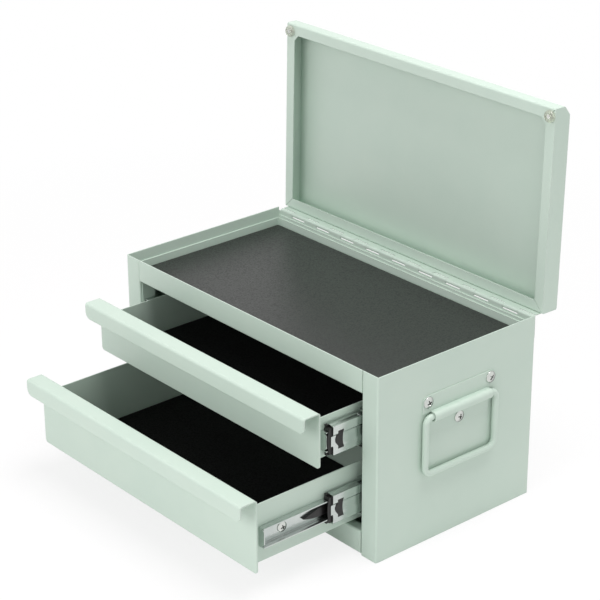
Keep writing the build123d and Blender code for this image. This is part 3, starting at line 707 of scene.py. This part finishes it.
def make_bail(side):
    """The wire bail of one side handle, with its ends turned into the barrel."""
    sizes = bpy.context.scene.chest_sizes
    node = f"handle_bail_{side}"
    low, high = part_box(node)
    radius = (high.x - low.x) / 2
    x = (low.x + high.x) / 2
    near, far = low.y + radius, high.y - radius
    top, bottom = high.z - radius, low.z + radius
    shoulder, corner = sizes.bail_shoulder, sizes.bail_corner
    hook = sizes.bail_hook - shoulder
    leg = top - bottom - shoulder - corner
    grip = far - near - 2 * corner
    bender = WireBender((x, near + sizes.bail_hook, top), (0, -1, 0), radius)
    bender.straight(hook)
    for bend_radius, run in ((shoulder, leg), (corner, grip), (corner, leg), (shoulder, hook)):
        bender.bend((1, 0, 0), 90, bend_radius)
        bender.straight(run)
    new_piece(f"bail_wire_{side}", bender.finished(), f"bail_{side}", "mint_paint", [node])


def cross_cutter(head_radius, head_height):
    """A tapered cross that cuts a screw's recess."""
    sizes = bpy.context.scene.chest_sizes
    bm = bmesh.new()
    reach, width = sizes.cross_reach * head_radius, sizes.cross_width * head_radius
    depth = sizes.cross_depth * head_height
    for x, y in ((reach, width), (width, reach)):
        made = bmesh.ops.create_cube(bm, size=2.0)
        box = Matrix.Translation((0, 0, head_height)) @ Matrix.Diagonal((x, y, depth, 1))
        bmesh.ops.transform(bm, matrix=box, verts=made["verts"])
        foot = [v for v in made["verts"] if v.co.z < head_height]
        bmesh.ops.scale(bm, vec=(sizes.cross_taper, sizes.cross_taper, 1), verts=foot)
    return bm


def cut(bm, cutter):
    """A mesh with another mesh cut out of it."""
    pair = []
    for label, source in (("stock", bm), ("cutter", cutter)):
        mesh = bpy.data.meshes.new(label)
        source.to_mesh(mesh)
        source.free()
        made = bpy.data.objects.new(label, mesh)
        bpy.context.scene.collection.objects.link(made)
        pair.append(made)
    stock, tool = pair
    modifier = stock.modifiers.new("recess", "BOOLEAN")
    modifier.object = tool
    modifier.operation = "DIFFERENCE"
    modifier.solver = "EXACT"
    modifier.use_self = True
    bpy.context.view_layer.update()
    ready = stock.evaluated_get(bpy.context.evaluated_depsgraph_get()).to_mesh()
    result = bmesh.new()
    result.from_mesh(ready)
    for made in pair:
        mesh = made.data
        bpy.data.objects.remove(made)
        bpy.data.meshes.remove(mesh)
    return result


def screw_head(head_radius, head_height, shank_radius, shank_length):
    """A domed screw head with a rolled rim and a tapered cross recess, on a plain shank."""
    crown_share, roll_share = 0.97, 0.8
    rim = bpy.context.scene.chest_sizes.head_rim * head_height
    dome = head_height - rim
    sphere = (head_radius ** 2 + dome ** 2) / (2 * dome)
    spread = math.degrees(math.asin(head_radius * crown_share / sphere))
    crown = arc_points((0, head_height - sphere), sphere, 90, 90 - spread, ARC_STEPS)
    points = [*crown, (head_radius, rim * roll_share), (head_radius, 0), (shank_radius, 0),
              (shank_radius, -shank_length), (0, -shank_length)]
    bm = bmesh.new()
    turned_profile(bm, points, SCREW_STEPS)
    return cut(bm, cross_cutter(head_radius, head_height))


def joined(parts):
    """One mesh from several."""
    whole = bmesh.new()
    for part in parts:
        mesh = bpy.data.meshes.new("joining")
        part.to_mesh(mesh)
        part.free()
        whole.from_mesh(mesh)
        bpy.data.meshes.remove(mesh)
    return whole


def seated_screws(kind, plate, sign, spots):
    """Screws of one kind on a side plate's outer face, each turned further than the one before."""
    sizes = bpy.context.scene.chest_sizes
    low, high = plate
    face = (low.x if sign > 0 else high.x) + sign * sizes.strip_sheet
    shape = [getattr(sizes, f"{kind}_screw_{size}") for size in ("head", "height", "shank", "reach")]
    first, step = SCREW_TURNS[kind]
    screws = []
    for count, (y, z) in enumerate(spots):
        screw = screw_head(*shape)
        seat = facing((face, y, z), (sign, 0, 0))
        placed(screw, seat @ Matrix.Rotation(first + count * step, 4, "Z"))
        screws.append(screw)
    return screws


def make_handle_screws():
    """Three screws in each handle plate."""
    sizes = bpy.context.scene.chest_sizes
    inset = sizes.handle_screw_inset
    screws = []
    for side, sign in SIDES.items():
        low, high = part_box(f"handle_plate_{side}")
        spots = [(low.y + inset, high.z - inset), (high.y - inset, high.z - inset),
                 ((low.y + high.y) / 2, low.z + sizes.handle_screw_low)]
        screws += seated_screws("handle", (low, high), sign, spots)
    new_piece("handle_screw_set", joined(screws), "cabinet", "bright_zinc", ["handle_screws"])


def make_slide_screws(level):
    """Two screws through each of a drawer's slide members."""
    inset = bpy.context.scene.chest_sizes.slide_screw_inset
    screws = []
    for side, sign in SIDES.items():
        low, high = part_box(f"{level}_drawer_member_{side}")
        middle = (low.z + high.z) / 2
        spots = [(low.y + inset, middle), (high.y - inset, middle)]
        screws += seated_screws("slide", (low, high), sign, spots)
    new_piece(f"{level}_slide_screw_set", joined(screws), f"{level}_drawer", "bright_zinc",
              [f"{level}_slide_screws"])


def make_bumpers():
    """Two soft clear bumpers at the lid's front corners, each dished round its rivet."""
    sizes = bpy.context.scene.chest_sizes
    low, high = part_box("lid_bumpers")
    edge, top, soft = sizes.bumper_radius, sizes.bumper_height, sizes.bumper_round
    dish, floor, bore = sizes.bumper_dish, top - sizes.bumper_dish_depth, sizes.bumper_bore
    crown = arc_points((edge - soft, top - soft), soft, 0, 90, ARC_STEPS)
    points = [(bore, 0), (edge, 0), *crown, (dish, top), (dish, floor), (bore, floor)]
    outward = Vector((0, -math.cos(sizes.lid_lean), math.sin(sizes.lid_lean)))
    pads = []
    for sign in SIDES.values():
        pad = bmesh.new()
        turned_profile(pad, points, BUMPER_STEPS, ring=True)
        middle = Vector((sign * (high.x - edge), (low.y + high.y) / 2, (low.z + high.z) / 2))
        placed(pad, facing(middle - outward * top / 2, outward))
        pads.append(pad)
    new_piece("bumper_pads", joined(pads), "lid", "clear_bumper", ["lid_bumpers"])


# Stage

def make_camera(stage):
    """Camera at the photograph's place and lens."""
    data = bpy.data.cameras.new("camera")
    data.lens = stage.camera_lens
    data.sensor_width = stage.camera_sensor
    data.clip_end = VIEW_REACH
    camera = bpy.data.objects.new("camera", data)
    bpy.context.scene.collection.objects.link(camera)
    camera.location = stage.camera_place
    camera.rotation_euler = stage.camera_turn
    bpy.context.scene.camera = camera


def make_lamp(stage, name):
    """A soft square lamp turned to the chest."""
    data = bpy.data.lights.new(f"{name}_lamp", "AREA")
    data.shape = "SQUARE"
    data.size = getattr(stage, f"{name}_size")
    data.energy = getattr(stage, f"{name}_power")
    data.color = stage.lamp_colour
    lamp = bpy.data.objects.new(f"{name}_lamp", data)
    bpy.context.scene.collection.objects.link(lamp)
    lamp.location = getattr(stage, f"{name}_place")
    ray = Vector(stage.lamp_target) - lamp.location
    lamp.rotation_euler = ray.to_track_quat("-Z", "Y").to_euler()


def seen_rays(tree):
    """A value of one for rays from the camera, from gloss and through clear pieces."""
    path = add(tree, "ShaderNodeLightPath")
    gloss = add(tree, "ShaderNodeMath", operation="MAXIMUM")
    clear = add(tree, "ShaderNodeMath", operation="MAXIMUM")
    wire(tree, path.outputs["Is Camera Ray"], gloss.inputs[0])
    wire(tree, path.outputs["Is Glossy Ray"], gloss.inputs[1])
    wire(tree, gloss.outputs[0], clear.inputs[0])
    wire(tree, path.outputs["Is Transmission Ray"], clear.inputs[1])
    return clear.outputs[0]


def make_world(stage):
    """White surroundings that light the chest at a plain level."""
    world = bpy.data.worlds.new("surroundings")
    bpy.context.scene.world = world
    world.use_nodes = True
    tree = world.node_tree
    backdrop = tree.nodes["Background"]
    strength = remap(tree, seen_rays(tree), stage.world_light, 1.0)
    backdrop.inputs["Color"].default_value = (1, 1, 1, 1)
    wire(tree, strength, backdrop.inputs["Strength"])


def floor_finish(stage):
    """Pale floor that keeps the chest's shadow and turns plain white further out."""
    material, tree, shader = fresh_material("pale_floor")
    shader.inputs["Base Color"].default_value = opaque(stage.floor)
    shader.inputs["Roughness"].default_value = 0.9
    shader.inputs["Specular IOR Level"].default_value = 0.0
    place = add(tree, "ShaderNodeTexCoord")
    away = add(tree, "ShaderNodeVectorMath", operation="LENGTH")
    white = add(tree, "ShaderNodeEmission", {"Color": (1, 1, 1, 1), "Strength": 1.0})
    both = add(tree, "ShaderNodeMixShader")
    whiteness = add(tree, "ShaderNodeMath", operation="MULTIPLY")
    wire(tree, place.outputs["Object"], away.inputs[0])
    fade = remap(tree, away.outputs["Value"], stage.floor_light, 1, stage.floor_near, stage.floor_far)
    wire(tree, fade, whiteness.inputs[0])
    wire(tree, seen_rays(tree), whiteness.inputs[1])
    wire(tree, whiteness.outputs[0], both.inputs[0])
    wire(tree, shader.outputs[0], both.inputs[1])
    wire(tree, white.outputs[0], both.inputs[2])
    wire(tree, both.outputs[0], tree.nodes["Material Output"].inputs["Surface"])
    return material


def make_floor(stage):
    """A plain round floor."""
    bm = bmesh.new()
    bmesh.ops.create_circle(bm, cap_ends=True, segments=FLOOR_STEPS, radius=stage.floor_size)
    mesh = bpy.data.meshes.new("floor")
    bm.to_mesh(mesh)
    bm.free()
    floor = bpy.data.objects.new("floor", mesh)
    bpy.context.scene.collection.objects.link(floor)
    floor.location = (0, 0, -FLOOR_DROP)
    mesh.materials.append(floor_finish(stage))


# Operators

class CHEST_OT_stage(bpy.types.Operator):
    """Set up the camera, the lamps, the floor and the surroundings"""

    bl_idname = "chest.stage"
    bl_label = "Stage"

    def execute(self, context):
        stage = context.scene.chest_stage
        context.scene.view_settings.view_transform = "Standard"
        make_camera(stage)
        for name in ("front", "top", "back"):
            make_lamp(stage, name)
        make_world(stage)
        make_floor(stage)
        return {"FINISHED"}


class CHEST_OT_paint(bpy.types.Operator):
    """Powder coat the folded steel: box, rails, lid, drawers, hinge leaves and handle plates"""

    bl_idname = "chest.paint"
    bl_label = "Powder coat"

    def execute(self, context):
        paint_nodes("mint_paint")
        return {"FINISHED"}


class CHEST_OT_slides(bpy.types.Operator):
    """Plate the slides and the hinge pin, and finish the stops and levers"""

    bl_idname = "chest.slides"
    bl_label = "Slides"

    def execute(self, context):
        paint_nodes("slide_zinc", "bright_zinc", "black_plastic")
        return {"FINISHED"}


class CHEST_OT_mats(bpy.types.Operator):
    """Lay the rubber mats in the till and the drawers"""

    bl_idname = "chest.mats"
    bl_label = "Mats"

    def execute(self, context):
        make_mat("till_mat", "cabinet", "mat_rubber")
        for level in LEVELS:
            make_mat(f"{level}_drawer_mat", f"{level}_drawer", "drawer_liner")
        return {"FINISHED"}


class CHEST_OT_hinge(bpy.types.Operator):
    """Fit the leaves of the piano hinge"""

    bl_idname = "chest.hinge"
    bl_label = "Hinge"

    def execute(self, context):
        make_hinge()
        return {"FINISHED"}


class CHEST_OT_bails(bpy.types.Operator):
    """Bend the wire bails of the side handles"""

    bl_idname = "chest.bails"
    bl_label = "Bails"

    def execute(self, context):
        for side in SIDES:
            make_bail(side)
        return {"FINISHED"}


class CHEST_OT_screws(bpy.types.Operator):
    """Make the cross-headed screws of the handles and the slides"""

    bl_idname = "chest.screws"
    bl_label = "Screws"

    def execute(self, context):
        make_handle_screws()
        for level in LEVELS:
            make_slide_screws(level)
        return {"FINISHED"}


class CHEST_OT_bumpers(bpy.types.Operator):
    """Make the lid's clear bumpers"""

    bl_idname = "chest.bumpers"
    bl_label = "Bumpers"

    def execute(self, context):
        make_bumpers()
        return {"FINISHED"}


OPERATORS = (CHEST_OT_stage, CHEST_OT_paint, CHEST_OT_slides, CHEST_OT_mats, CHEST_OT_hinge,
             CHEST_OT_bails, CHEST_OT_screws, CHEST_OT_bumpers)


class CHEST_PT_panel(bpy.types.Panel):
    """Lists the chest's settings and steps"""

    bl_idname = "CHEST_PT_panel"
    bl_label = "Tool Chest"
    bl_space_type = "VIEW_3D"
    bl_region_type = "UI"
    bl_category = "Tool Chest"

    def draw(self, context):
        scene = context.scene
        for owner in (scene.chest_finish, scene.chest_sizes, scene.chest_stage):
            box = self.layout.box()
            for name in owner.__annotations__:
                box.prop(owner, name)
        for step in OPERATORS:
            self.layout.operator(step.bl_idname)


CLASSES = (ChestFinish, ChestSizes, ChestStage, *OPERATORS, CHEST_PT_panel)


def register():
    """Adds the classes and the scene's settings."""
    for made in CLASSES:
        bpy.utils.register_class(made)
    bpy.types.Scene.chest_finish = PointerProperty(type=ChestFinish)
    bpy.types.Scene.chest_sizes = PointerProperty(type=ChestSizes)
    bpy.types.Scene.chest_stage = PointerProperty(type=ChestStage)


def unregister():
    """Removes the settings and the classes."""
    del bpy.types.Scene.chest_stage
    del bpy.types.Scene.chest_sizes
    del bpy.types.Scene.chest_finish
    for made in reversed(CLASSES):
        bpy.utils.unregister_class(made)


def main():
    """Runs every step in order."""
    register()
    bpy.ops.chest.stage()
    bpy.ops.chest.paint()
    bpy.ops.chest.slides()
    bpy.ops.chest.mats()
    bpy.ops.chest.hinge()
    bpy.ops.chest.bails()
    bpy.ops.chest.screws()
    bpy.ops.chest.bumpers()


if __name__ == "__main__":
    main()
